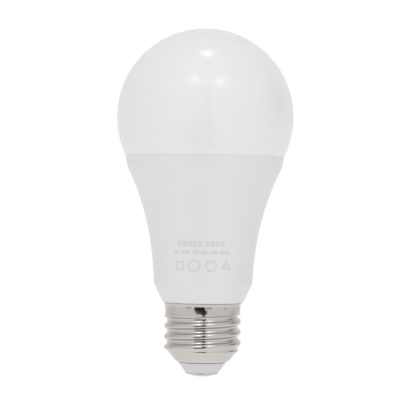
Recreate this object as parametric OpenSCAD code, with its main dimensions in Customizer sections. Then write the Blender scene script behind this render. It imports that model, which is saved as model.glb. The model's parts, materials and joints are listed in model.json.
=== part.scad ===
// Screw-in smart lamp: a milky globe on a flared plastic housing, with the light board, the
// driver and the wireless module inside, and an Edison screw cap at the bottom.
// Millimetres. +Z runs up the lamp axis, from the tip of the centre contact to the top of
// the globe. The marked face of the housing looks along -Y.

/* [Globe] */
// Largest diameter of the globe
globe_d = 60; // [59.6:0.1:60.4]
// Height from the tip of the centre contact to the top of the globe
overall_h = 118.2; // [117.8:0.1:118.8]
// Wall thickness of the globe
globe_wall = 1.4; // [1:0.1:1.6]
// Radius of the flatter arc between the globe's widest point and the seam
globe_skirt_r = 31.5; // [31:0.1:32]

/* [Housing] */
// Height of the seam between the globe and the housing
seam_z = 74.7; // [74.5:0.1:74.9]
// Height of the corner under the collar, where the flare starts
collar_z = 70.8; // [70.6:0.1:71]
// Diameter at that corner
collar_d = 52.4; // [52.2:0.1:52.6]
// Diameter at the shoulder, the bottom of the flare
shoulder_d = 33.4; // [33:0.1:34]
// Height of the shoulder
shoulder_z = 31.5; // [31.2:0.1:32]
// Diameter of the lip that meets the screw cap
lip_d = 27.4; // [26.8:0.1:28]
// Height of the lip
lip_z = 25.2; // [24.8:0.1:25.6]
// Wall thickness of the housing
housing_wall = 1.6; // [1.4:0.1:1.7]

/* [Screw cap] */
// Diameter over the thread's crests
thread_d = 26.1; // [26.05:0.05:26.4]
// Height of the thread from root to crest
thread_depth = 1.05; // [0.9:0.05:1.1]
// Rise of the thread in one turn, seven turns to the inch
thread_pitch = 3.629; // [3.6:0.001:3.7]
// Diameter of the plain band above the thread
band_d = 25.5; // [25.3:0.1:25.7]
// Thickness of the sheet metal
shell_wall = 0.35; // [0.3:0.05:0.4]

/* [Insulator and contact] */
// Diameter of the insulator where it leaves the screw cap
insulator_d = 16.2; // [15.9:0.1:16.4]
// Diameter of the centre contact's head
contact_d = 11.3; // [10.6:0.1:11.6]
// Radius of the dome on the contact's head
contact_dome_r = 14; // [13.4:0.1:15]

/* [Light board] */
// Number of warm white packages, and the same number of cool white ones
white_count = 9; // [5:2:9]
// Number of colour packages
colour_count = 6; // [2:1:6]
// Thickness of the light board
light_board_t = 1.2; // [1:0.1:1.3]

/* [Driver] */
// Width of the driver board above the neck
driver_w = 27; // [25:0.5:27.5]
// Thickness of the driver board
driver_t = 1.2; // [1:0.1:1.4]
// Diameter of the input capacitor, which stands in the neck
input_cap_d = 8; // [6.3:0.1:8.5]

/* [Hidden] */
$fn = 96;
// Clearance between pieces that sit inside one another, and the overlap of joined shapes
gap = 0.1;
eps = 0.01;

// Globe: its centre, and its radius where it meets the housing
globe_r = globe_d / 2;
globe_z = overall_h - globe_r;
skirt_x = globe_r - globe_skirt_r;
seam_r = skirt_x + sqrt(pow(globe_skirt_r, 2) - pow(globe_z - seam_z, 2));
spigot_h = 2.7;
spigot_r = seam_r - housing_wall - gap;
spigot_wall = 1.1;
spigot_step = 0.5;
spigot_foot = 1.2;

// Housing: the flare is one smooth curve from the shoulder to the collar
flare_steps = 24;
shoulder_r = shoulder_d / 2;
collar_r = collar_d / 2;
flare_guide = [
    [shoulder_r, shoulder_z],
    [shoulder_r + 0.3, shoulder_z + 2],
    [shoulder_r + 0.05, shoulder_z + 21],
    [collar_r, collar_z]
];
flare = [for (i = [0:flare_steps]) bezier(flare_guide, i / flare_steps)];
flare_by_height = [for (p = flare) [p[1], p[0]]];
neck_z = 12;
neck_r = 11.5;
neck_wall = 1.5;
neck_in_r = neck_r - neck_wall;
neck_notch_w = 1.4;
neck_notch_h = 4.6;
throat_edge = 0.5;
rail = [2.2, 1.2, 8];
rail_x = neck_in_r - 0.5;
rail_z = neck_z + 4;
band_seat_r = 12.2;
thread_top_z = 20.7;

// Heat sink: an aluminium liner that follows the flare and carries the light board
cup_wall = 0.8;
cup_foot_z = 35;
cup_foot_w = 1.6;
cup_gap = housing_wall + gap / 2;
seat_z = 70.3;
seat_r = lookup(seat_z, flare_by_height) - cup_gap;
seat_t = 1.3;
seat_w = 4.1;
cup_line = [for (p = flare) if (p[1] > cup_foot_z && p[1] < seat_z - seat_t) p - [cup_gap, 0]];
paste_t = 0.15;

// Light board: rings of packages, three screws, and slots for what comes up through it
light_board_r = seat_r - gap;
light_board_z = seat_z + paste_t;
light_face_z = light_board_z + light_board_t;
white_ring_r = 19.4;
colour_ring_r = 13;
screw_count = 3;
screw_ring_r = 21.6;
screw_r = 1;
screw_head_r = 1.8;
screw_head_h = 1.1;
screw_l = 2.6;
white_step = 180 / white_count;

// Driver board: a wide plate with a tongue that reaches down into the neck
driver_top_z = 66;
driver_step_z = 38;
driver_foot_z = 13.5;
tongue_w = 18;
slot_gap = 0.3;
pin_count = 5;
pin_pitch = 2;
pin_w = 0.64;
header_y = driver_t + 1;
header_bar = [11, 2, 2.5];
header_z = 62;
socket_size = [12.4, 3.4, 3.4];

// Driver parts: diameter and length or sizes, and where each stands on its face of the board,
// by distance across it and height
cap_lift = 0.4;
input_cap_l = 14.5;
input_cap_z = 29.5;
output_cap = [8, 10.8];
output_cap_at = [-6.8, 55.6];
supply_cap = [6.3, 9];
supply_cap_at = [5.6, 55.6];
transformer_at = [0, 46];
core_size = [13, 12, 5];
core_leg = 2.2;
core_middle = 3.8;
core_lift = 4;
winding_size = [8.2, 7.2, 8.4];
winding_lift = core_lift + core_size[2] / 2 - winding_size[2] / 2;
bobbin_size = [10, 13, 1.4];
choke_at = [-4.4, 34];
choke_r = 3.7;
choke_h = 7.4;
choke_flange = 1;
choke_hub_r = 1.8;
varistor_at = [4.9, 34];
varistor_r = 3.4;
rectifier_at = [0, 30];
chip_spots = [[-5, 41], [5, 50]];
diode_spots = [[5, 36], [-8, 55]];
resistor_heights = [45.5, 60];
resistor_size = [1.25, 2, 0.5];

// Wireless board: it stands up through the light board, so that its antenna is in the globe
wireless_y = driver_t + 3.8;
wireless_size = [15, 0.8, 24.5];
wireless_z = 56;
wireless_pin_z = 58;
trace_w = 0.5;
trace_t = 0.1;
trace_runs = 6;
trace_l = 4.4;

// Fuse resistor, in its sleeve beside the driver board's tongue
fuse_x = 2.5;
fuse_y = 5.6;
fuse_r = 1.7;
fuse_z = 13.2;
fuse_l = 8.8;
wire_r = 0.3;
lead_r = 0.6;
bare_lead_r = 0.4;

// Screw cap: radius of the sheet without the thread, and how much thread there is, by height
root_r = thread_d / 2 - thread_depth;
knuckle_r = (pow(thread_pitch / 4, 2) + pow(thread_depth / 2, 2)) / thread_depth;
band_r = band_d / 2;
cone_z = 8.75;
rim_z = 5;
shell_top_z = lip_z - gap;
crest_z = 15.2;
rim_r = insulator_d / 2 + 0.1;
rim_edge = [1.2, 0.6];
band_start_z = thread_top_z + 0.5;
band_end_z = shell_top_z - 2;
flare_w = 0.5;
shell_line = [
    [rim_z, rim_r], [rim_z + rim_edge[1], rim_r + rim_edge[0]], [cone_z, root_r],
    [thread_top_z, root_r], [band_start_z, band_r], [band_end_z, band_r],
    [shell_top_z, band_r + flare_w]
];
thread_share = [
    [cone_z - 0.6, 0], [cone_z + 0.7, 1], [thread_top_z - 0.2, 1], [band_start_z + 0.1, 0]
];
shell_rows = 28;
shell_steps = 40;
shell_heights = concat(
    [rim_z, rim_z + rim_edge[1], cone_z - 0.9],
    [for (i = [0:shell_rows]) cone_z + (band_start_z - cone_z) * i / shell_rows],
    [band_end_z, shell_top_z]
);

// Insulator and contact
insulator_z = 1.35;
insulator_top_z = 8.2;
stem_r = 1.5;
stem_top_z = 6.5;
tip_r = 1.5;

// A point on a cubic curve with four guide points
function bezier(p, t) =
    pow(1 - t, 3) * p[0] + 3 * t * pow(1 - t, 2) * p[1]
    + 3 * t * t * (1 - t) * p[2] + pow(t, 3) * p[3];

function unit(v) = v / norm(v);

// Height of the rolled thread above its root, by distance from the nearest crest: two equal
// arcs, one round the crest and one in the root, that meet a quarter of the pitch away
function knuckle(away) =
    let (past = abs(away) < thread_pitch / 4 ? abs(away) : thread_pitch / 2 - abs(away))
    let (fall = knuckle_r - sqrt(pow(knuckle_r, 2) - pow(past, 2)))
    abs(away) < thread_pitch / 4 ? thread_depth - fall : fall;

// Radius of the screw cap's outer face at a height and an angle. The thread is right-handed.
function shell_r(z, a) =
    let (along = (z - crest_z) / thread_pitch - a / 360)
    lookup(z, shell_line) + lookup(z, thread_share) * knuckle((along - round(along)) * thread_pitch);

// A closed skin over rows of points that go once round, joined row to row and back to the first
function skin_faces(rows, steps) = [
    for (i = [0:rows - 1], j = [0:steps - 1])
        let (
            k = (j + 1) % steps, n = (i + 1) % rows,
            a = i * steps + j, b = i * steps + k, c = n * steps + k, d = n * steps + j
        )
        each [[a, b, c], [a, c, d]]
];

// A round lead along a cubic curve
module lead(guide, radius) {
    sides = 8;
    rings = 12;
    along = [for (i = [0:rings]) bezier(guide, i / rings)];
    heading = [for (i = [0:rings]) unit(along[min(i + 1, rings)] - along[max(i - 1, 0)])];
    across = unit(cross(guide[3] - guide[0], [0.3, 0.2, 1]));
    points = [
        for (i = [0:rings])
            let (u = unit(cross(heading[i], across)), v = cross(u, heading[i]))
            for (j = [0:sides - 1])
                along[i] + radius * (cos(360 * j / sides) * u + sin(360 * j / sides) * v)
    ];
    walls = [
        for (i = [0:rings - 1], j = [0:sides - 1])
            let (k = (j + 1) % sides, a = i * sides)
            each [[a + j, a + sides + k, a + k], [a + j, a + sides + j, a + sides + k]]
    ];
    start_cap = [for (j = [0:sides - 1]) j];
    end_cap = [for (j = [sides - 1:-1:0]) rings * sides + j];
    polyhedron(points, concat(walls, [start_cap, end_cap]));
}

// A block centred in x and y on a point, standing on it
module block(size, at = [0, 0, 0]) {
    translate(at - [size[0] / 2, size[1] / 2, 0]) cube(size);
}

module tube(outer_r, inner_r, height) {
    difference() {
        cylinder(r = outer_r, h = height);
        translate([0, 0, -1]) cylinder(r = inner_r, h = height + 2);
    }
}

// Places its children on the driver board's front or back, with +Z away from the board
module on_front(at) {
    translate([at[0], 0, at[1]]) rotate([90, 0, 0]) children();
}

module on_back(at) {
    translate([at[0], driver_t, at[1]]) rotate([-90, 0, 0]) children();
}

module around(count, radius, first = 0) {
    for (i = [0:count - 1]) {
        rotate([0, 0, first + 360 * i / count]) translate([radius, 0, 0]) children();
    }
}

// Half of the globe's outline, inset by a wall, down to the seam
module globe_section(inset) {
    intersection() {
        translate([0, globe_z]) circle(globe_r - inset);
        translate([0, globe_z]) square([globe_d, globe_d]);
    }
    intersection() {
        translate([skirt_x, globe_z]) circle(globe_skirt_r - inset);
        translate([0, seam_z]) square([globe_d, globe_z - seam_z]);
    }
}

module diffuser() {
    inner_r = spigot_r - spigot_wall;
    color("whitesmoke") rotate_extrude() {
        difference() {
            globe_section(0);
            translate([0, -eps]) globe_section(globe_wall);
        }
        translate([inner_r, seam_z]) square([seam_r - spigot_step - inner_r, spigot_foot]);
        translate([inner_r, seam_z - spigot_h]) square([spigot_wall, spigot_h + eps]);
    }
}

// Silicone under the globe's spigot
module adhesive_ring() {
    bead_z = seat_z + gap;
    color("gainsboro") translate([0, 0, bead_z])
        tube(spigot_r, light_board_r + gap / 2, seam_z - spigot_h - bead_z);
}

module housing() {
    outside = concat(
        [
            [neck_r, neck_z], [neck_r, thread_top_z], [band_seat_r, thread_top_z + 0.6],
            [band_seat_r, lip_z], [lip_d / 2, lip_z]
        ],
        flare,
        [[seam_r, seam_z], [seam_r - housing_wall, seam_z], [seam_r - housing_wall, seat_z]]
    );
    inside = concat(
        [for (i = [flare_steps - 1:-1:0]) flare[i] - [housing_wall, 0]],
        [
            [neck_in_r + throat_edge, lip_z + throat_edge], [neck_in_r, lip_z - throat_edge],
            [neck_in_r, neck_z]
        ]
    );
    color("snow") {
        difference() {
            union() {
                rotate_extrude() polygon(concat(outside, inside));
                // Two pairs of rails in the neck that hold the driver board's tongue
                for (x = [-1, 1], y = [-rail[1] / 2 - gap, driver_t + rail[1] / 2 + gap]) {
                    block(rail, [x * rail_x, y, rail_z]);
                }
            }
            block([2 * neck_wall + 1, neck_notch_w, neck_notch_h + 1], [-neck_r, 0, neck_z - 1]);
        }
    }
}

module heat_sink_cup() {
    last = len(cup_line) - 1;
    foot = cup_line[0];
    outline = concat(
        cup_line,
        [
            [seat_r, seat_z], [seat_r - seat_w, seat_z], [seat_r - seat_w, seat_z - seat_t],
            [cup_line[last][0] - cup_wall + 0.3, seat_z - seat_t]
        ],
        [for (i = [last:-1:1]) cup_line[i] - [cup_wall, 0]],
        [
            [foot[0] - cup_wall, foot[1] + cup_wall], [foot[0] - cup_foot_w, foot[1] + cup_wall],
            [foot[0] - cup_foot_w, foot[1]]
        ]
    );
    color("silver") difference() {
        rotate_extrude() polygon(outline);
        translate([0, 0, seat_z - 2 * seat_t])
            around(screw_count, screw_ring_r, white_step / 2)
                cylinder(r = screw_r + eps, h = 3 * seat_t);
    }
}

module thermal_paste() {
    color("lightgray") translate([0, 0, seat_z]) difference() {
        tube(light_board_r - 0.4, seat_r - seat_w + 0.2, paste_t);
        translate([0, 0, -1])
            around(screw_count, screw_ring_r, white_step / 2) cylinder(r = screw_r + gap, h = 3);
    }
}

module light_board() {
    color("white") difference() {
        translate([0, 0, light_board_z]) cylinder(r = light_board_r, h = light_board_t);
        translate([0, 0, light_board_z - 1]) {
            around(screw_count, screw_ring_r, white_step / 2) cylinder(r = screw_r + gap, h = 4);
            block([pin_count * pin_pitch + 0.6, pin_w + 2 * slot_gap, 4], [0, header_y, 0]);
            block(
                [wireless_size[0] + 2 * slot_gap, wireless_size[1] + 2 * slot_gap, 4],
                [0, wireless_y + wireless_size[1] / 2, 0]
            );
        }
    }
}

// A surface-mount package with a shallow window for its phosphor
module led_package(length, width, height) {
    rim = 0.4;
    difference() {
        block([length, width, height]);
        block([length - 2 * rim, width - 2 * rim, height], [0, 0, height - 0.1]);
    }
}

module white_ring(first) {
    translate([0, 0, light_face_z]) around(white_count, white_ring_r, first) led_package(3.5, 2.8, 0.7);
}

module warm_white_leds() {
    color("khaki") white_ring(0);
}

module cool_white_leds() {
    color("lightyellow") white_ring(white_step);
}

module colour_leds() {
    color("ivory") translate([0, 0, light_face_z])
        around(colour_count, colour_ring_r, 90) led_package(5, 5, 1.4);
}

module light_board_screws() {
    cross_slot = [2.2, 0.5, 0.6];
    color("darkgray") translate([0, 0, light_face_z]) around(screw_count, screw_ring_r, white_step / 2) {
        difference() {
            cylinder(r = screw_head_r, h = screw_head_h);
            translate([0, 0, screw_head_h - cross_slot[2] + gap]) {
                block(cross_slot);
                rotate([0, 0, 90]) block(cross_slot);
            }
        }
        translate([0, 0, -screw_l]) cylinder(r = screw_r, h = screw_l + eps);
    }
}

module header_row() {
    for (i = [0:pin_count - 1]) {
        translate([(i - (pin_count - 1) / 2) * pin_pitch, header_y, 0]) children();
    }
}

module board_socket() {
    color("ivory") difference() {
        translate([0, header_y, light_face_z]) block(socket_size);
        header_row() block([pin_w + gap, pin_w + gap, 2 * socket_size[2]], [0, 0, light_face_z - 1]);
    }
}

module board_header() {
    color("dimgray") difference() {
        translate([0, header_y, header_z]) block(header_bar);
        header_row() block([pin_w, pin_w, 2 * header_bar[2]], [0, 0, header_z - 1]);
    }
}

module header_pins() {
    color("silver") header_row()
        block([pin_w, pin_w, light_face_z - header_z + 2.6], [0, 0, header_z - 0.8]);
}

module driver_board() {
    color("seagreen") translate([0, driver_t / 2, 0]) {
        block([driver_w, driver_t, driver_top_z - driver_step_z], [0, 0, driver_step_z]);
        block([tongue_w, driver_t, driver_step_z - driver_foot_z + eps], [0, 0, driver_foot_z]);
    }
}

// An electrolytic capacitor in front of the board, along +Z from its seal, with its rolled
// groove near the seal and two leads that leave the seal and turn to the board
module electrolytic(d, length) {
    r = d / 2;
    bevel = 0.4;
    spread = d / 5;
    lead_l = 1.6;
    groove_z = 1.6;
    translate([0, -r - cap_lift, 0]) {
        rotate_extrude() polygon([
            [0, 0], [r - bevel, 0], [r, bevel], [r, groove_z], [r - bevel, groove_z + bevel],
            [r, groove_z + 2 * bevel], [r, length - bevel], [r - bevel, length], [0, length]
        ]);
        for (x = [-spread, spread]) {
            translate([x, 0, -lead_l]) cylinder(r = wire_r, h = lead_l + eps, $fn = 24);
            translate([x, 0, -lead_l]) rotate([-90, 0, 0])
                cylinder(r = wire_r, h = r + cap_lift, $fn = 24);
        }
    }
}

module input_capacitor() {
    color("midnightblue") translate([0, 0, input_cap_z]) mirror([0, 0, 1])
        electrolytic(input_cap_d, input_cap_l);
}

module output_capacitor() {
    color("midnightblue") translate([output_cap_at[0], 0, output_cap_at[1]])
        electrolytic(output_cap[0], output_cap[1]);
}

module supply_capacitor() {
    color("black") translate([supply_cap_at[0], 0, supply_cap_at[1]])
        electrolytic(supply_cap[0], supply_cap[1]);
}

// A ferrite core with two windows, one on each side of its middle leg
module transformer_core() {
    window = (core_size[0] - 2 * core_leg - core_middle) / 2;
    color("darkslategray") on_front(transformer_at) difference() {
        block(core_size, [0, 0, core_lift]);
        for (x = [-1, 1]) {
            block(
                [window, core_size[1] - 2 * core_leg, core_size[2] + 2],
                [x * (core_middle + window) / 2, 0, core_lift - 1]
            );
        }
    }
}

module transformer_winding() {
    color("goldenrod") on_front(transformer_at) difference() {
        block(winding_size, [0, 0, winding_lift]);
        block(
            [core_middle + 2 * gap, winding_size[1] + 2, core_size[2] + 2 * gap],
            [0, 0, core_lift - gap]
        );
    }
}

module transformer_bobbin() {
    pin_columns = 3;
    pin_step = [3.5, 5.4];
    base_z = winding_lift - gap - bobbin_size[2];
    color("black") on_front(transformer_at) {
        block(bobbin_size, [0, 0, base_z]);
        for (side = [-1, 1], i = [0:pin_columns - 1]) {
            translate([(i - (pin_columns - 1) / 2) * pin_step[0], side * pin_step[1], 0])
                cylinder(r = bare_lead_r, h = base_z + eps, $fn = 24);
        }
    }
}

// A drum core standing on the board, wound between its two flanges
module filter_choke() {
    color("dimgray") on_front(choke_at) rotate_extrude() polygon([
        [0, 0], [choke_r, 0], [choke_r, choke_flange], [choke_hub_r, choke_flange],
        [choke_hub_r, choke_h - choke_flange], [choke_r, choke_h - choke_flange],
        [choke_r, choke_h], [0, choke_h]
    ]);
}

module choke_winding() {
    color("peru") on_front(choke_at) translate([0, 0, choke_flange])
        tube(choke_r - 0.4, choke_hub_r, choke_h - 2 * choke_flange);
}

module surge_varistor() {
    lift = 1.2;
    thickness = 3;
    bevel = 0.8;
    color("royalblue") on_front(varistor_at) {
        translate([0, 0, lift]) rotate_extrude() polygon([
            [0, 0], [varistor_r - bevel, 0], [varistor_r, bevel], [varistor_r, thickness - bevel],
            [varistor_r - bevel, thickness], [0, thickness]
        ]);
        for (x = [-varistor_r, varistor_r] / 2) {
            translate([x, 0, 0]) cylinder(r = wire_r, h = lift + bevel, $fn = 24);
        }
    }
}

// A chip in a flat package with legs along two sides
module flat_package(size, legs, spacing) {
    leg = [0.4, 1.2, 0.3];
    block(size, [0, 0, 0.1]);
    for (y = [-1, 1], i = [0:legs - 1]) {
        block(leg, [(i - (legs - 1) / 2) * spacing, y * (size[1] / 2 + leg[1] / 2 - 0.2), 0]);
    }
}

module bridge_rectifier() {
    color("black") on_back(rectifier_at) flat_package([4.7, 3.9, 1.5], 2, 2.5);
}

module driver_chips() {
    color("black") for (at = chip_spots) {
        on_back(at) flat_package([4.9, 3.9, 1.5], 4, 1.27);
    }
}

module power_diodes() {
    color("black") for (at = diode_spots) {
        on_back(at) flat_package([4.3, 2.6, 2.1], 1, 1);
    }
}

module chip_resistors() {
    columns = 5;
    step = 3;
    color("dimgray") for (i = [0:columns - 1], z = resistor_heights) {
        on_back([(i - (columns - 1) / 2) * step, z]) block(resistor_size);
    }
}

module fuse_resistor() {
    elbow_z = 24.4;
    color("lightblue") translate([fuse_x, fuse_y, 0]) {
        translate([0, 0, fuse_z]) cylinder(r = fuse_r, h = fuse_l);
        translate([0, 0, fuse_z - 0.8]) cylinder(r = wire_r, h = 1, $fn = 24);
        translate([0, 0, fuse_z + fuse_l - eps])
            cylinder(r = wire_r, h = elbow_z - fuse_z - fuse_l + wire_r, $fn = 24);
        translate([0, 0, elbow_z]) rotate([90, 0, 0])
            cylinder(r = wire_r, h = fuse_y - driver_t, $fn = 24);
    }
}

module fuse_sleeve() {
    color("black") translate([fuse_x, fuse_y, fuse_z - 0.3])
        tube(fuse_r + 0.4, fuse_r + 0.05, fuse_l + 0.6);
}

module wireless_board() {
    color("darkslateblue") block(wireless_size, [0, wireless_y + wireless_size[1] / 2, wireless_z]);
}

module wireless_shield() {
    can = [10.5, 1.3, 10.5];
    color("silver") block(can, [0, wireless_y + wireless_size[1] + can[1] / 2, wireless_z + 2]);
}

module wireless_pins() {
    pins = 6;
    reach = wireless_y - driver_t;
    color("gold") for (i = [0:pins - 1]) {
        x = (i - (pins - 1) / 2) * pin_pitch;
        block([0.5, reach, 0.5], [x, driver_t + reach / 2, wireless_pin_z]);
    }
}

// The antenna is a folded copper trace at the top of the wireless board
module antenna_trace() {
    step = 2 * trace_w + 0.9;
    y = wireless_y + wireless_size[1] + trace_t / 2;
    z = wireless_z + wireless_size[2] - trace_l - 1;
    color("gold") for (i = [0:trace_runs - 1]) {
        x = (i - (trace_runs - 1) / 2) * step;
        block([trace_w, trace_t, trace_l], [x, y, z]);
        if (i < trace_runs - 1) {
            turn_z = i % 2 == 0 ? z + trace_l - trace_w : z;
            block([step + trace_w, trace_t, trace_w], [x + step / 2, y, turn_z]);
        }
    }
}

module live_lead() {
    color("black") lead(
        [
            [0, 0, stem_top_z + gap], [0, 0, stem_top_z + 3],
            [fuse_x, fuse_y, stem_top_z + 2.6], [fuse_x, fuse_y, fuse_z - 0.8]
        ],
        lead_r
    );
}

// The neutral lead folds over the neck's lower edge, through the notch, to lie in the cap
module neutral_lead() {
    notch_x = neck_r - 0.45;
    color("silver") lead(
        [
            [-6.5, driver_t + bare_lead_r + 0.05, 15.5], [-6.5, driver_t + 1.4, 7.8],
            [-notch_x, 0, 7], [-notch_x, 0, 16]
        ],
        bare_lead_r
    );
}

module screw_shell() {
    outward = [
        for (z = shell_heights, j = [0:shell_steps - 1])
            let (a = 360 * j / shell_steps, r = shell_r(z, a))
            [r * cos(a), r * sin(a), z]
    ];
    rows = len(shell_heights);
    inward = [
        for (i = [rows - 1:-1:0], j = [0:shell_steps - 1])
            let (z = shell_heights[i], a = 360 * j / shell_steps, r = shell_r(z, a) - shell_wall)
            [r * cos(a), r * sin(a), z]
    ];
    color("silver") polyhedron(concat(outward, inward), skin_faces(2 * rows, shell_steps));
}

module cap_insulator() {
    // The outline follows the inside of the cap's cone, with a groove for the cap's rim
    liner = shell_wall + gap;
    groove_r = rim_r - liner;
    recess = [stem_r + 2.5, stem_r + 3.5];
    color("aliceblue") rotate_extrude() polygon([
        [stem_r + gap, insulator_z], [contact_d / 2, insulator_z], [insulator_d / 2, rim_z - 0.2],
        [groove_r, rim_z - gap], [groove_r, rim_z + gap],
        [rim_r + rim_edge[0] - liner, rim_z + rim_edge[1] + gap],
        [lookup(insulator_top_z, shell_line) - liner - gap, insulator_top_z],
        [recess[1], insulator_top_z], [recess[0], stem_top_z], [stem_r + gap, stem_top_z]
    ]);
}

module centre_contact() {
    dome_z = sqrt(pow(contact_dome_r, 2) - pow(tip_r, 2));
    color("gainsboro") {
        intersection() {
            translate([0, 0, dome_z]) sphere(contact_dome_r);
            cylinder(d = contact_d, h = insulator_z);
        }
        cylinder(r = stem_r, h = stem_top_z);
    }
}

diffuser();
adhesive_ring();
housing();
heat_sink_cup();
thermal_paste();
light_board();
warm_white_leds();
cool_white_leds();
colour_leds();
light_board_screws();
board_socket();
board_header();
header_pins();
driver_board();
input_capacitor();
output_capacitor();
supply_capacitor();
transformer_core();
transformer_winding();
transformer_bobbin();
filter_choke();
choke_winding();
surge_varistor();
bridge_rectifier();
driver_chips();
power_diodes();
chip_resistors();
fuse_resistor();
fuse_sleeve();
wireless_board();
wireless_shield();
wireless_pins();
antenna_trace();
live_lead();
neutral_lead();
screw_shell();
cap_insulator();
centre_contact();
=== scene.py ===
"""Looks of a screw-in smart lamp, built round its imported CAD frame.

The globe, the housing, the screw cap, the insulator, the contact and the printed marks are pieces
of their own. The parts inside the lamp keep their CAD shapes and get their finishes here.
Sizes here are in mm, angles in degrees. The meshes are in metres, as the frame is.
"""
import json
import math

import bmesh
import bpy
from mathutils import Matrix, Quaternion, Vector


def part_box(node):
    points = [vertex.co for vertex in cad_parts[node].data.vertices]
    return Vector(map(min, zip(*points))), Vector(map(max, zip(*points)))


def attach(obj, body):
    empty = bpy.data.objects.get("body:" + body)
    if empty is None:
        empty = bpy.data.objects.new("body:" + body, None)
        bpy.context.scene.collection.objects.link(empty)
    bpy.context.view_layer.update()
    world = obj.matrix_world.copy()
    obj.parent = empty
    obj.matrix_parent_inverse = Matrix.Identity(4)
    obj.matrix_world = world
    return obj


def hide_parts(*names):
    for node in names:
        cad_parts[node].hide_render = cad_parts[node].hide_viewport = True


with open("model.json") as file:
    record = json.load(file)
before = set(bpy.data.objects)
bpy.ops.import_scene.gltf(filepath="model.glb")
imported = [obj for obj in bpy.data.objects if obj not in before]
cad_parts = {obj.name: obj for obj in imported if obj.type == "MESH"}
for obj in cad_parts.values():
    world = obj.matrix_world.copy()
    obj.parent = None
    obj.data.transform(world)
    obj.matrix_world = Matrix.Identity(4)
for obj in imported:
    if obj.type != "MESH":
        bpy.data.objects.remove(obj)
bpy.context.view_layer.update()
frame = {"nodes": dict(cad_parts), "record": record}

MM = 0.001


def low(node):
    """A node's lowest corner, in mm."""
    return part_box(node)[0] / MM


def high(node):
    """A node's highest corner, in mm."""
    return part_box(node)[1] / MM


# Sizes that the frame gives
globe_r = high("diffuser").x
globe_z = high("diffuser").z - globe_r
spigot_foot_z = low("diffuser").z
seam_z = high("housing").z
seam_r = high("housing").x
neck_z = low("housing").z
rim_z = low("screw_shell").z
cap_top_z = high("screw_shell").z
insulator_z = low("cap_insulator").z
insulator_top_z = high("cap_insulator").z
contact_r = high("centre_contact").x
flare_r = high("screw_shell").x
stem_top_z = high("centre_contact").z

# Globe. Below its widest ring it follows a flatter arc, the skirt, down to the seam. The spigot
# stands inside the collar, and its bore reaches spigot_root_h above the seam.
globe_wall = 1.4
skirt_arc_r = 31.5
spigot_wall = 1.1
spigot_gap = 0.1
spigot_root_h = 1.2
spigot_rounding = 0.3
seam_rounding = 0.08

# Housing. The throat is the step from the flare's inside to the neck's bore, the notch lets the
# neutral lead out of the neck, and the rails hold the driver board.
housing_wall = 1.6
seat_z = 70.3
collar_z = 70.8
collar_r = 26.2
collar_rounding = 9
shoulder_z = 31.5
shoulder_r = 16.7
shoulder_rounding = 2.5
lip_z = 25.2
lip_r = 13.7
lip_rounding = 0.35
band_seat_r = 12.2
band_seat_z = 21.3
neck_top_z = 20.7
neck_r = 11.5
neck_wall = 1.5
neck_rounding = 0.3
throat_step = 0.6
throat_h = 0.5
notch_w = 1.4
notch_top_z = 16.6
rail_size = (2.2, 1.2, 8)
rail_x = 9.5
rail_y = (-0.7, 1.9)
rail_z = 20
flare_steps = 48

# Guide points of the flare's curve, from the shoulder up to the collar
flare_guide = [
    (shoulder_r, shoulder_z), (shoulder_r + 0.3, shoulder_z + 2),
    (shoulder_r + 0.05, shoulder_z + 21), (collar_r, collar_z)
]

# Screw cap. At angle 0, one crest of its thread is at crest_z.
thread_pitch = 3.629
thread_depth = 1.05
crest_z = 15.2
crest_r = 13.05
root_r = crest_r - thread_depth
cone_z = 8.75
thread_end_z = 20.7
band_r = 12.75
band_z = 21.2
flare_z = 24.05
cap_rim_r = 8.2
sheet_t = 0.35

# Crimps: pairs of punched dents round the band, the first pair at the angle crimp_first. A pair
# reaches crimp_reach up and down from its middle, and crimp_turn to each side.
crimp_count = 12
crimp_first = -82
crimp_z = 23.65
crimp_spread = 0.45
crimp_depth = 0.5
crimp_r = 0.3
crimp_reach = 0.7
crimp_flat = 0.9
crimp_turn = 5

# Insulator and centre contact. The cap's rim clips into a groove round the insulator, whose cone
# and core stand inside the cap. The contact's head is a shallow dome with a flat tip.
insulator_r = 8.1
insulator_edge = 0.12
insulator_rim_edge = 0.08
insulator_top_edge = 0.3
insulator_foot_w = 1.2
insulator_foot_h = 0.7
insulator_cone_w = 3.3
insulator_core_w = 2.5
part_gap = 0.1
dome_r = 14
dome_edge = 0.08
dome_rim_h = 0.05
tip_r = 1.5
stem_r = 1.5


# ---------------------------------------------------------------- shapes

def bezier(guide, t):
    """The point at t, from 0 to 1, on a cubic curve with four guide points."""
    a, b, c, d = (Vector(p) for p in guide)
    return (1 - t) ** 3 * a + 3 * t * (1 - t) ** 2 * b + 3 * t * t * (1 - t) * c + t ** 3 * d


def arc(centre, radius, start, end, steps):
    """Points along an arc in the (radius, height) plane, between two angles in degrees."""
    angles = [math.radians(start + (end - start) * i / steps) for i in range(steps + 1)]
    return [(centre[0] + radius * math.cos(a), centre[1] + radius * math.sin(a)) for a in angles]


def rounded(corners, steps=6):
    """A closed outline in which each corner (radius, height, rounding) turns along an arc."""
    outline = []
    for i, corner in enumerate(corners):
        here = Vector(corner[:2])
        if len(corner) < 3:
            outline.append(here)
            continue
        back = (Vector(corners[i - 1][:2]) - here).normalized()
        ahead = (Vector(corners[(i + 1) % len(corners)][:2]) - here).normalized()
        half_angle = back.angle(ahead) / 2
        reach = corner[2] / math.tan(half_angle)
        centre = here + (back + ahead).normalized() * corner[2] / math.sin(half_angle)
        first = here + back * reach - centre
        last = here + ahead * reach - centre
        for k in range(steps + 1):
            outline.append(centre + first.lerp(last, k / steps).normalized() * corner[2])
    return outline


def lookup(x, table):
    """The value at x in a table of (x, value) steps, along straight lines between them."""
    for (x0, v0), (x1, v1) in zip(table, table[1:]):
        if x < x1:
            return v0 + (v1 - v0) * max(0, x - x0) / (x1 - x0)
    return table[-1][1]


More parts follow.
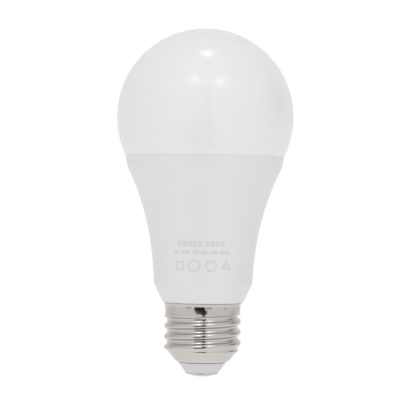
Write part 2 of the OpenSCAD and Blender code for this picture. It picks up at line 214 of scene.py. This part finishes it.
def finished(name, verts, faces, crease=35):
    """An object from points in mm, with outward faces, shaded smooth between its creases."""
    mesh = bpy.data.meshes.new(name)
    mesh.from_pydata([Vector(v) * MM for v in verts], [], faces)
    work = bmesh.new()
    work.from_mesh(mesh)
    bmesh.ops.recalc_face_normals(work, faces=work.faces)
    work.to_mesh(mesh)
    work.free()
    mesh.shade_smooth()
    mesh.set_sharp_from_angle(angle=math.radians(crease))
    piece = bpy.data.objects.new(name, mesh)
    bpy.context.scene.collection.objects.link(piece)
    return piece


def ring_faces(rows, steps, closed):
    """Faces between rows of points that run round the Z axis. Closed joins the last row to the first."""
    faces = []
    for i in range(rows if closed else rows - 1):
        n = (i + 1) % rows
        for j in range(steps):
            k = (j + 1) % steps
            faces.append((i * steps + j, i * steps + k, n * steps + k, n * steps + j))
    return faces


def lathe(name, outline, steps=192):
    """Turns a closed outline of (radius, height) points round the Z axis."""
    verts = []
    rings = []
    for r, z in outline:
        on_axis = r < 1e-6
        count = 1 if on_axis else steps
        rings.append([len(verts) + j % count for j in range(steps)])
        for j in range(count):
            turn = 2 * math.pi * j / steps
            verts.append((r * math.cos(turn), r * math.sin(turn), z))
    faces = []
    for ring, above in zip(rings, rings[1:] + rings[:1]):
        for j in range(steps):
            k = (j + 1) % steps
            corners = [ring[j], ring[k], above[k], above[j]]
            face = [v for n, v in enumerate(corners) if v not in corners[:n]]
            if len(face) > 2:
                faces.append(face)
    return finished(name, verts, faces)


def block(centre, size):
    """The points and faces of a box."""
    verts = []
    for x in (-0.5, 0.5):
        for y in (-0.5, 0.5):
            for z in (-0.5, 0.5):
                verts.append([c + share * s for c, share, s in zip(centre, (x, y, z), size)])
    faces = [(0, 1, 3, 2), (4, 6, 7, 5), (0, 4, 5, 1), (2, 3, 7, 6), (0, 2, 6, 4), (1, 5, 7, 3)]
    return verts, faces


def combine(piece, operation, centre, size):
    """Cuts a box out of a piece, or joins it on."""
    tool = finished("tool", *block(centre, size))
    change = piece.modifiers.new("change", "BOOLEAN")
    change.operation = operation
    change.object = tool
    shape = piece.evaluated_get(bpy.context.evaluated_depsgraph_get())
    piece.data = bpy.data.meshes.new_from_object(shape)
    piece.modifiers.clear()
    bpy.data.objects.remove(tool)


# ---------------------------------------------------------------- node helpers

# The Mix node's colour sockets share their names with its number sockets, so they go by place
MIX_FIRST, MIX_SECOND, MIX_COLOUR = 6, 7, 2
# Patches of colour are this many times as wide as a finish's grain
patch_scale = 12
# Noise lies mostly between these two values
noise_span = (0.3, 0.7)


def new_finish(name):
    """A material with its Principled shader."""
    material = bpy.data.materials.new(name)
    material.use_nodes = True
    return material, material.node_tree, material.node_tree.nodes["Principled BSDF"]


def add(tree, kind, values=(), **settings):
    """A node, with constants on its input sockets and its settings."""
    node = tree.nodes.new("ShaderNode" + kind)
    for socket, value in dict(values).items():
        node.inputs[socket].default_value = value
    for name, value in settings.items():
        setattr(node, name, value)
    return node


def noise(tree, grain, detail=3, stretch=(1, 1, 1)):
    """Noise with grains of a size in mm, stretched along the object's axes."""
    place = add(tree, "TexCoord")
    scale = add(tree, "Mapping", {"Scale": [1 / (grain * MM * s) for s in stretch]})
    pattern = add(tree, "TexNoise", {"Scale": 1.0, "Detail": detail})
    tree.links.new(place.outputs["Object"], scale.inputs["Vector"])
    tree.links.new(scale.outputs["Vector"], pattern.inputs["Vector"])
    return pattern.outputs["Fac"]


def between(tree, source, start, end, low_end, high_end):
    """A number that moves between two ends as the source goes from start to end."""
    scale = add(
        tree, "MapRange", {"From Min": start, "From Max": end, "To Min": low_end, "To Max": high_end}
    )
    tree.links.new(source, scale.inputs["Value"])
    return scale.outputs["Result"]


def calc(tree, operation, *values):
    """The result of a Math node on numbers or sockets."""
    node = add(tree, "Math", operation=operation)
    for socket, value in zip(node.inputs, values):
        if isinstance(value, bpy.types.NodeSocket):
            tree.links.new(value, socket)
        else:
            socket.default_value = value
    return node.outputs[0]


def ramp(tree, pattern, socket, low_end, high_end):
    """Sends a noise pattern to a socket as a number between two ends."""
    tree.links.new(between(tree, pattern, *noise_span, low_end, high_end), socket)


def blend_colours(tree, pattern, first, second):
    """A colour that a noise pattern moves between two colours."""
    mix = add(tree, "Mix", data_type="RGBA")
    mix.inputs[MIX_FIRST].default_value = (*first, 1)
    mix.inputs[MIX_SECOND].default_value = (*second, 1)
    ramp(tree, pattern, mix.inputs["Factor"], 0, 1)
    return mix.outputs[MIX_COLOUR]


def bump(tree, shader, pattern, height):
    """Raises the surface by a noise pattern, by a height in mm."""
    relief = add(tree, "Bump", {"Strength": 1.0, "Distance": height * MM})
    tree.links.new(pattern, relief.inputs["Height"])
    tree.links.new(relief.outputs["Normal"], shader.inputs["Normal"])


def surface(name, colour, shade, roughness, grain, relief, constants=(), stretch=(1, 1, 1)):
    """A finish whose colour, roughness and fine relief all vary with noise."""
    material, tree, shader = new_finish(name)
    broad = noise(tree, grain * patch_scale, 2, stretch)
    fine = noise(tree, grain, 3, stretch)
    tree.links.new(blend_colours(tree, broad, colour, shade), shader.inputs["Base Color"])
    ramp(tree, fine, shader.inputs["Roughness"], *roughness)
    bump(tree, shader, fine, relief)
    for socket, value in dict(constants).items():
        shader.inputs[socket].default_value = value
    return material


# ---------------------------------------------------------------- outside pieces

def housing_r(z):
    """Outer radius of the housing's flare at a height."""
    below, above = 0.0, 1.0
    for _ in range(30):
        middle = (below + above) / 2
        if bezier(flare_guide, middle).y < z:
            below = middle
        else:
            above = middle
    return bezier(flare_guide, below).x


def make_globe():
    """Milky globe: a round top, a flatter skirt down to the seam, and the spigot under it."""
    inner_r = globe_r - globe_wall
    skirt_centre = (globe_r - skirt_arc_r, globe_z)
    skirt_inner_r = skirt_arc_r - globe_wall
    seam_angle = -math.degrees(math.asin((globe_z - seam_z) / skirt_arc_r))
    inner_z = seam_z + spigot_root_h
    inner_angle = -math.degrees(math.asin((globe_z - inner_z) / skirt_inner_r))
    spigot_r = seam_r - housing_wall - spigot_gap
    outer_top = arc((0, globe_z), globe_r, 90, 0, 64)
    outer_skirt = arc(skirt_centre, skirt_arc_r, 0, seam_angle, 20)
    inner_skirt = arc(skirt_centre, skirt_inner_r, inner_angle, 0, 10)
    inner_top = arc((0, globe_z), inner_r, 0, 90, 32)
    spigot = [
        (*outer_skirt[-1], seam_rounding), (spigot_r, seam_z),
        (spigot_r, spigot_foot_z, spigot_rounding),
        (spigot_r - spigot_wall, spigot_foot_z, spigot_rounding), (spigot_r - spigot_wall, inner_z)
    ]
    top = (0, globe_z + globe_r)
    inner_top_end = (0, globe_z + inner_r)
    corners = [
        top, *outer_top[1:-1], *outer_skirt[:-1], *spigot, *inner_skirt[:-1], *inner_top[:-1],
        inner_top_end
    ]
    return lathe("globe_shell", rounded(corners))


def make_housing():
    """White housing: collar, flare, shoulder, lip and neck, with the driver board's rails."""
    flare = [tuple(bezier(flare_guide, i / flare_steps)) for i in range(flare_steps + 1)]
    bore_r = neck_r - neck_wall
    inner_r = seam_r - housing_wall
    corners = [
        (neck_r, neck_z, neck_rounding), (neck_r, neck_top_z), (band_seat_r, band_seat_z),
        (band_seat_r, lip_z), (lip_r, lip_z, lip_rounding),
        (*flare[0], shoulder_rounding), *flare[1:-1], (*flare[-1], collar_rounding),
        (seam_r, seam_z, seam_rounding), (inner_r, seam_z), (inner_r, seat_z),
        *[(r - housing_wall, z) for r, z in flare[-2:0:-2]],
        (bore_r + throat_step, lip_z + throat_h), (bore_r, lip_z - throat_h), (bore_r, neck_z)
    ]
    shell = lathe("housing_shell", rounded(corners))
    for x in (-rail_x, rail_x):
        for y in rail_y:
            combine(shell, "UNION", (x, y, rail_z), rail_size)
    overcut = 1
    notch_h = notch_top_z - neck_z + overcut
    notch = (2 * neck_wall + overcut, notch_w, notch_h)
    combine(shell, "DIFFERENCE", (-neck_r, 0, notch_top_z - notch_h / 2), notch)
    return shell


def knuckle(share):
    """Height of the thread, 0 at the root and 1 at the crest, at a share of a turn from the crest.

    Crest and root are arcs of one radius, which meet halfway up.
    """
    quarter = thread_pitch / 4
    roll_r = (quarter ** 2 + (thread_depth / 2) ** 2) / thread_depth
    along = abs(share - round(share)) * thread_pitch
    if along < quarter:
        return 1 - (roll_r - math.sqrt(roll_r ** 2 - along ** 2)) / thread_depth
    return (roll_r - math.sqrt(roll_r ** 2 - (2 * quarter - along) ** 2)) / thread_depth


def cap_line():
    """Radius of the cap's sheet without its thread, by height."""
    rim = [
        (rim_z, cap_rim_r), (rim_z + 0.06, cap_rim_r + 0.45), (rim_z + 0.22, cap_rim_r + 0.8),
        (rim_z + 0.6, cap_rim_r + 1.2)
    ]
    thread = [
        (cone_z - 0.25, root_r - 0.24), (cone_z + 0.1, root_r), (thread_end_z, root_r),
        (thread_end_z + 0.12, root_r + 0.14)
    ]
    band = [
        (band_z - 0.12, band_r - 0.12), (band_z + 0.1, band_r), (band_z + 1, band_r),
        (band_z + 1.8, band_r + 0.02), (flare_z, band_r + 0.08)
    ]
    flared_edge = [
        (flare_z + 0.1, band_r + 0.12), (cap_top_z - 0.15, flare_r - 0.04),
        (cap_top_z - 0.08, flare_r), (cap_top_z, flare_r - 0.06)
    ]
    return rim + thread + band + flared_edge


def cap_r(z, turn):
    """Outer radius of the screw cap at a height and an angle. The thread is right-handed."""
    fade = [(cone_z - 0.6, 0), (cone_z + 0.7, 1), (thread_end_z - 0.3, 1), (band_z + 0.1, 0)]
    phase = (z - crest_z) / thread_pitch - turn / (2 * math.pi)
    return lookup(z, cap_line()) + lookup(z, fade) * thread_depth * knuckle(phase)


def crimp(z, turn):
    """Depth of the punched pairs of dents that hold the cap on the neck."""
    pitch = 360 / crimp_count
    off = (math.degrees(turn) - crimp_first + pitch / 2) % pitch - pitch / 2
    along = math.radians(off) * band_r
    depth = 0
    for side in (-1, 1):
        distance = math.hypot(along - side * crimp_spread, (z - crimp_z) * crimp_flat)
        depth += crimp_depth * math.exp(-(distance / crimp_r) ** 2)
    return depth


def spread(start, end, step):
    """Evenly spaced values from start up to just before end."""
    count = max(1, round((end - start) / step))
    return [start + (end - start) * i / count for i in range(count)]


def make_screw_cap():
    """Nickel-plated cap: cone, rolled thread, plain band with crimps, and a flared top edge.

    Its rows of points lie closest together at the rim, the thread and the crimps.
    """
    crimp_low, crimp_high = crimp_z - crimp_reach, crimp_z + crimp_reach
    outer = (
        spread(rim_z, rim_z + 0.6, 0.06) + spread(rim_z + 0.6, cone_z - 0.7, 0.4)
        + spread(cone_z - 0.7, band_z + 0.1, 0.13) + spread(band_z + 0.1, crimp_low, 0.3)
        + spread(crimp_low, cap_top_z, 0.08) + [cap_top_z]
    )
    inner = (
        spread(rim_z, cone_z, 0.5) + spread(cone_z, band_z, 0.4) + spread(band_z, crimp_low, 0.5)
        + spread(crimp_low, crimp_high, 0.12) + spread(crimp_high, cap_top_z, 0.4) + [cap_top_z]
    )
    half_pitch = 180 / crimp_count
    offsets = (
        spread(-half_pitch, -crimp_turn, 1.6) + spread(-crimp_turn, crimp_turn, 0.5)
        + spread(crimp_turn, half_pitch, 1.6)
    )
    middles = [crimp_first + 2 * half_pitch * i for i in range(crimp_count)]
    turns = [math.radians(middle + off) for middle in middles for off in offsets]
    rows = [(z, 0) for z in outer] + [(z, sheet_t) for z in reversed(inner)]
    verts = []
    for z, inset in rows:
        for turn in turns:
            r = cap_r(z, turn) - crimp(z, turn) - inset
            verts.append((r * math.cos(turn), r * math.sin(turn), z))
    return finished("screw_cap_shell", verts, ring_faces(len(rows), len(turns), True), crease=60)


def make_insulator():
    """Pale insulator that fills the cap's cone and carries the contact."""
    bore_r = stem_r + part_gap
    core_r = stem_r + insulator_core_w
    groove_r = cap_rim_r - sheet_t - part_gap
    corners = [
        (bore_r, insulator_z), (contact_r, insulator_z, insulator_edge),
        (insulator_r, rim_z - 2 * part_gap, insulator_rim_edge), (groove_r, rim_z - part_gap),
        (groove_r, rim_z + part_gap), (groove_r + insulator_foot_w, rim_z + insulator_foot_h),
        (groove_r + insulator_cone_w, insulator_top_z, insulator_top_edge),
        (core_r + 1, insulator_top_z, insulator_top_edge), (core_r, stem_top_z), (bore_r, stem_top_z)
    ]
    return lathe("insulator_body", rounded(corners), 128)


def make_contact():
    """Centre contact: a domed head with a small flat tip, on a stem."""
    centre_z = math.sqrt(dome_r ** 2 - tip_r ** 2)
    start = -math.degrees(math.acos(tip_r / dome_r))
    end = -math.degrees(math.acos((contact_r - dome_edge) / dome_r))
    dome = arc((0, centre_z), dome_r, start, end, 16)
    corners = [
        (0, 0), *dome, (contact_r, dome[-1][1] + dome_rim_h), (contact_r, insulator_z),
        (stem_r, insulator_z), (stem_r, stem_top_z), (0, stem_top_z)
    ]
    return lathe("contact_head", rounded(corners), 128)


# Printed marks, in pale grey ink: two rows of plain bars, each with its (middle, width), and under
# them four plain outlines, each with its (middle, sides)
ink_t = 0.03
ink_root = 0.06
bar_row = {"z": 45.3, "height": 1.9, "bars": [
    (-8.5, 1.4), (-6.6, 1.8), (-4.6, 1.6), (-2.8, 1.4), (-1.1, 1.4), (1.3, 1.5), (3.0, 1.5), (4.7, 1.4),
    (6.4, 1.4)
]}
small_row = {"z": 42.5, "height": 1.2, "bars": [
    (-9.4, 1.6), (-6.1, 3.4), (-2.6, 2.2), (0.4, 2.6), (3.6, 2.4), (7.1, 3.4)
]}
bar_corner = 0.2
bar_steps = 12
outline_z = 38
outline_r = 2.2
outline_steps = 24
ink_line = 0.65
outlines = [(-8.1, 4), (-3.1, 32), (2.6, 6), (7.8, 3)]


def printed_bar(row, middle, width):
    """Pairs of points, low and high, along a bar with rounded corners."""
    corner = row["height"] * bar_corner
    pairs = []
    for i in range(bar_steps + 1):
        u = -math.cos(math.pi * i / bar_steps) * width / 2
        past = max(0, abs(u) - (width / 2 - corner))
        half = row["height"] / 2 - corner + math.sqrt(max(0, corner ** 2 - past ** 2))
        pairs.append(((middle + u, row["z"] - half), (middle + u, row["z"] + half)))
    return pairs


def printed_outline(middle, sides):
    """Pairs of points, outer and inner, round a regular outline."""
    side_steps = max(1, outline_steps // sides)
    pairs = []
    for i in range(sides):
        turns = [2 * math.pi * (i + n + 0.5) / sides - math.pi / 2 for n in (0, 1)]
        for k in range(side_steps):
            pair = []
            for radius in (outline_r, outline_r - ink_line / math.cos(math.pi / sides)):
                ends = [Vector((math.cos(t), math.sin(t))) * radius for t in turns]
                spot = ends[0].lerp(ends[1], k / side_steps)
                pair.append((middle + spot.x, outline_z + spot.y))
            pairs.append(pair)
    return pairs


def add_strip(verts, faces, pairs, closed):
    """Adds a thin solid that lies on the housing's front between two lines of (across, z) points."""
    base = len(verts)
    for pair in pairs:
        for lift in (-ink_root, ink_t):
            for across, z in pair:
                r = housing_r(z) + lift
                turn = across / r - math.pi / 2
                verts.append((r * math.cos(turn), r * math.sin(turn), z))
    count = len(pairs)
    for i in range(count if closed else count - 1):
        a = base + 4 * i
        b = base + 4 * ((i + 1) % count)
        for p, q in ((0, 2), (2, 3), (3, 1), (1, 0)):
            faces.append((a + p, a + q, b + q, b + p))
    if not closed:
        last = base + 4 * (count - 1)
        faces.append((base, base + 1, base + 3, base + 2))
        faces.append((last, last + 2, last + 3, last + 1))


def make_marks():
    """Printed marks on the housing's front. Each is a thin solid that follows the flare."""
    verts, faces = [], []
    for row in (bar_row, small_row):
        for middle, width in row["bars"]:
            add_strip(verts, faces, printed_bar(row, middle, width), False)
    for middle, sides in outlines:
        add_strip(verts, faces, printed_outline(middle, sides), True)
    return finished("printed_marks", verts, faces)


# ---------------------------------------------------------------- finishes

# Each finish: its colour and the shade it varies to, the ends of its roughness, its grain and relief
# in mm, and then, where it has them, constants for its shader and the stretch of its grain
metal = {"Metallic": 1.0}
looks = {
    "milky_plastic": (
        (0.79, 0.79, 0.807), (0.78, 0.78, 0.797), (0.13, 0.17), 0.25, 0.0015,
        {"Subsurface Weight": 0.15, "Subsurface Scale": 0.001, "IOR": 1.49}
    ),
    "white_plastic": (
        (0.742, 0.725, 0.732), (0.732, 0.715, 0.722), (0.28, 0.36), 0.18, 0.005, {"IOR": 1.5}
    ),
    "grey_ink": ((0.64, 0.63, 0.635), (0.665, 0.655, 0.66), (0.5, 0.6), 0.1, 0.003),
    "nickel_cap": (
        (0.572, 0.547, 0.524), (0.557, 0.532, 0.509), (0.09, 0.15), 0.3, 0.0006, metal, (12, 12, 1)
    ),
    "insulator_plastic": ((0.62, 0.615, 0.635), (0.61, 0.605, 0.625), (0.35, 0.45), 0.15, 0.004),
    "contact_metal": ((0.56, 0.56, 0.55), (0.53, 0.53, 0.52), (0.25, 0.4), 0.2, 0.006, metal),
    "silicone": ((0.70, 0.70, 0.67), (0.66, 0.66, 0.63), (0.4, 0.55), 0.4, 0.02),
    "aluminium_cup": (
        (0.66, 0.66, 0.67), (0.58, 0.58, 0.59), (0.3, 0.45), 0.25, 0.006, metal, (8, 8, 1)
    ),
    "heat_paste": ((0.62, 0.62, 0.62), (0.55, 0.55, 0.55), (0.5, 0.7), 0.5, 0.02),
    "white_board": ((0.80, 0.80, 0.78), (0.77, 0.77, 0.74), (0.35, 0.5), 0.3, 0.004),
    "warm_phosphor": ((0.78, 0.55, 0.16), (0.7, 0.46, 0.1), (0.3, 0.4), 0.2, 0.01),
    "cool_phosphor": ((0.80, 0.74, 0.2), (0.72, 0.66, 0.14), (0.3, 0.4), 0.2, 0.01),
    "colour_package": ((0.78, 0.78, 0.74), (0.72, 0.72, 0.68), (0.3, 0.5), 0.2, 0.01),
    "steel_screw": ((0.55, 0.55, 0.56), (0.45, 0.45, 0.46), (0.25, 0.4), 0.1, 0.004, metal),
    "ivory_plastic": ((0.74, 0.70, 0.58), (0.70, 0.66, 0.54), (0.4, 0.55), 0.2, 0.01),
    "black_plastic": ((0.025, 0.025, 0.027), (0.04, 0.04, 0.042), (0.35, 0.5), 0.2, 0.01),
    "tinned_pins": ((0.65, 0.65, 0.63), (0.55, 0.55, 0.53), (0.25, 0.4), 0.1, 0.004, metal),
    "green_board": ((0.02, 0.16, 0.06), (0.015, 0.12, 0.045), (0.25, 0.4), 0.3, 0.01),
    "dark_board": ((0.01, 0.012, 0.03), (0.015, 0.018, 0.04), (0.25, 0.4), 0.3, 0.01),
    "capacitor_sleeve": ((0.02, 0.03, 0.08), (0.03, 0.04, 0.1), (0.25, 0.4), 0.3, 0.01),
    "ferrite": ((0.05, 0.05, 0.052), (0.08, 0.08, 0.08), (0.4, 0.6), 0.2, 0.02),
    "winding_tape": ((0.70, 0.45, 0.04), (0.62, 0.38, 0.03), (0.2, 0.35), 0.3, 0.01),
    "copper_wire": ((0.65, 0.26, 0.10), (0.5, 0.18, 0.06), (0.2, 0.35), 0.3, 0.03, metal, (8, 1, 8)),
    "varistor_coat": ((0.03, 0.10, 0.42), (0.02, 0.08, 0.35), (0.2, 0.4), 0.3, 0.02),
    "chip_body": ((0.02, 0.02, 0.021), (0.035, 0.035, 0.036), (0.4, 0.6), 0.1, 0.01),
    "chip_ceramic": ((0.05, 0.05, 0.05), (0.09, 0.085, 0.08), (0.3, 0.5), 0.1, 0.01),
    "resistor_coat": ((0.16, 0.30, 0.42), (0.13, 0.26, 0.38), (0.3, 0.5), 0.2, 0.02),
    "heat_shrink": ((0.02, 0.02, 0.02), (0.035, 0.035, 0.035), (0.4, 0.6), 0.3, 0.02),
    "tinned_steel": ((0.68, 0.68, 0.66), (0.6, 0.6, 0.58), (0.25, 0.4), 0.3, 0.008, metal),
    "gold_trace": ((0.83, 0.62, 0.28), (0.75, 0.54, 0.22), (0.2, 0.35), 0.2, 0.004, metal),
    "lead_cover": ((0.35, 0.02, 0.015), (0.3, 0.015, 0.012), (0.35, 0.5), 0.2, 0.01),
    "tinned_wire": ((0.66, 0.65, 0.62), (0.58, 0.57, 0.54), (0.2, 0.35), 0.1, 0.004, metal),
}
finishes = {name: surface(name, *look) for name, look in looks.items()}


def put(piece, slot, *nodes, look=None):
    """Gives a piece its finish, fixes it to the lamp, and hides the CAD nodes it stands for."""
    piece.data.materials.clear()
    piece.data.materials.append(finishes[look or slot])
    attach(piece, "root")
    if nodes:
        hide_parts(*nodes)


def dress_frame():
    """Gives every CAD node the finish of the slot that the record names for it."""
    for part in frame["record"]["subparts"]:
        for holder in frame["nodes"][part["node"]].material_slots:
            holder.material = finishes[part["material_slot"]]


# ---------------------------------------------------------------- studio

# Camera: view_width is what it sees across at the lamp, and the roll is in degrees
camera_distance = 600
camera_height = 57
aim = (-1.43, 0, 59.9)
view_width = 136.2
camera_roll = 0.78
sensor_width = 36

# Floor and backdrop. The floor lies low enough for the lamp to be seen from below.
floor_z = -800
floor_r = 3000
floor_grey = 0.8
floor_glow = 0.35
backdrop_r = 3100

# Dark cards before the lamp, the camera's stand and the camera. A card's edges, from the bottom up,
# are (elevation, azimuth of the left end, of the right end), as seen from the middle of the thread.
stand_card = [(-34, -28, 13), (-8, -26, 13), (-3.3, -20, 13), (-1.5, -7, 12)]
camera_card = [(-1.5, -1, 7), (40, -1, 7)]
card_distance = 700
card_grey = 0.02

# Brightness of the studio's walls below, at the horizon and overhead, and its share behind the lamp
low_light = 1.09
horizon_light = 0.88
top_light = 0.73
back_share = 0.98

# Soft lights on those walls: azimuth, elevation, sharpness and strength. A negative strength is a
# dark corner, which shows in the cap.
soft_lights = [
    (20, 87, 350, 7.5),
    (20, 87, 40, 0.18),
    (-18, 46, 420, 5.6),
    (24, 43, 420, 5.6),
    (-29, 42, 160, 0.9),
    (35, 40, 160, 0.7),
    (0, 50, 6, 0.54),
    (108, 15, 22, -0.57),
    (-108, 15, 22, -0.22)
]


def toward(azimuth, elevation):
    """A direction from the lamp. Azimuth 0 is the side of the printed marks, 90 the right."""
    a, e = math.radians(azimuth), math.radians(elevation)
    return Vector((math.sin(a) * math.cos(e), -math.cos(a) * math.cos(e), math.sin(e)))


def make_camera():
    """The camera, a little below the lamp's middle and turned slightly."""
    data = bpy.data.cameras.new("camera")
    camera = bpy.data.objects.new("camera", data)
    bpy.context.scene.collection.objects.link(camera)
    data.sensor_width = sensor_width
    data.lens = sensor_width * camera_distance / view_width
    place = Vector((aim[0], -camera_distance, camera_height))
    camera.location = place * MM
    camera.rotation_mode = "QUATERNION"
    roll = Quaternion((0, 0, 1), math.radians(camera_roll))
    camera.rotation_quaternion = (Vector(aim) - place).to_track_quat("-Z", "Y") @ roll
    bpy.context.scene.camera = camera


def make_walls():
    """A softly lit studio, a little brighter below the lamp than overhead, and dimmer behind it."""
    world = bpy.data.worlds.new("studio")
    world.use_nodes = True
    tree = world.node_tree
    direction = add(tree, "TexCoord").outputs["Generated"]
    axes = add(tree, "SeparateXYZ")
    tree.links.new(direction, axes.inputs[0])
    above = between(tree, axes.outputs["Z"], 0, 1, horizon_light, top_light)
    below = between(tree, axes.outputs["Z"], -1, 0, low_light - horizon_light, 0)
    behind = calc(tree, "POWER", between(tree, axes.outputs["Y"], -1, 1, 0, 1), 2)
    depth = between(tree, behind, 0, 1, 1, back_share)
    light = calc(tree, "MULTIPLY", calc(tree, "ADD", above, below), depth)
    for azimuth, elevation, sharpness, strength in soft_lights:
        facing = add(tree, "VectorMath", {1: toward(azimuth, elevation)}, operation="DOT_PRODUCT")
        tree.links.new(direction, facing.inputs[0])
        ahead = calc(tree, "MAXIMUM", facing.outputs["Value"], 0)
        spot = calc(tree, "MULTIPLY", calc(tree, "POWER", ahead, sharpness), strength)
        light = calc(tree, "ADD", light, spot)
    tree.links.new(light, tree.nodes["Background"].inputs["Strength"])
    tree.nodes["Background"].inputs["Color"].default_value = (1, 1, 1, 1)
    bpy.context.scene.world = world


def stage_sheet(name, verts, faces, grey, glow):
    """A stage piece of one dull finish with some glow, from points in mm."""
    mesh = bpy.data.meshes.new(name)
    mesh.from_pydata([Vector(v) * MM for v in verts], [], faces)
    sheet = bpy.data.objects.new(name, mesh)
    bpy.context.scene.collection.objects.link(sheet)
    material, _, shader = new_finish(name)
    shader.inputs["Base Color"].default_value = (grey, grey, grey, 1)
    shader.inputs["Roughness"].default_value = 1
    shader.inputs["Specular IOR Level"].default_value = 0
    shader.inputs["Emission Color"].default_value = (1, 1, 1, 1)
    shader.inputs["Emission Strength"].default_value = glow
    mesh.materials.append(material)
    return sheet


def hide_from_lamp(sheet):
    """Leaves a stage piece in the picture, but keeps it out of the lamp's light and gloss."""
    sheet.visible_diffuse = False
    sheet.visible_glossy = False
    sheet.visible_transmission = False
    sheet.visible_shadow = False


def card(name, edges):
    """A dark upright card that shows in the lamp's gloss, but not in the picture."""
    thread_middle = Vector((0, 0, crest_z))
    verts = []
    for elevation, left, right in edges:
        for azimuth in (left, right):
            verts.append(toward(azimuth, elevation) * card_distance + thread_middle)
    faces = [(2 * i, 2 * i + 1, 2 * i + 3, 2 * i + 2) for i in range(len(edges) - 1)]
    sheet = stage_sheet(name, verts, faces, card_grey, 0)
    sheet.visible_camera = False
    sheet.visible_shadow = False
    sheet.visible_diffuse = False


def make_floor():
    """A plain pale floor, well below the lamp."""
    steps = 96
    turns = [2 * math.pi * i / steps for i in range(steps)]
    verts = [(floor_r * math.cos(t), floor_r * math.sin(t), floor_z) for t in turns]
    hide_from_lamp(stage_sheet("floor", verts, [list(range(steps))], floor_grey, floor_glow))


def make_backdrop():
    """A plain white wall all round, which only the camera sees."""
    steps = 64
    bands = 32
    verts = []
    for i in range(bands + 1):
        for j in range(steps):
            verts.append(toward(360 * j / steps, 180 * i / bands - 90) * backdrop_r)
    hide_from_lamp(stage_sheet("backdrop", verts, ring_faces(bands + 1, steps, False), 0, 1))


def make_studio():
    """The pale studio round the lamp."""
    bpy.context.scene.view_settings.view_transform = "Standard"
    make_walls()
    make_floor()
    make_backdrop()
    card("stand_card", stand_card)
    card("camera_card", camera_card)


dress_frame()
put(make_globe(), "milky_plastic", "diffuser")
put(make_housing(), "white_plastic", "housing")
put(make_screw_cap(), "nickel_cap", "screw_shell")
put(make_insulator(), "insulator_plastic", "cap_insulator")
put(make_contact(), "contact_metal", "centre_contact")
put(make_marks(), "white_plastic", look="grey_ink")
make_studio()
make_camera()
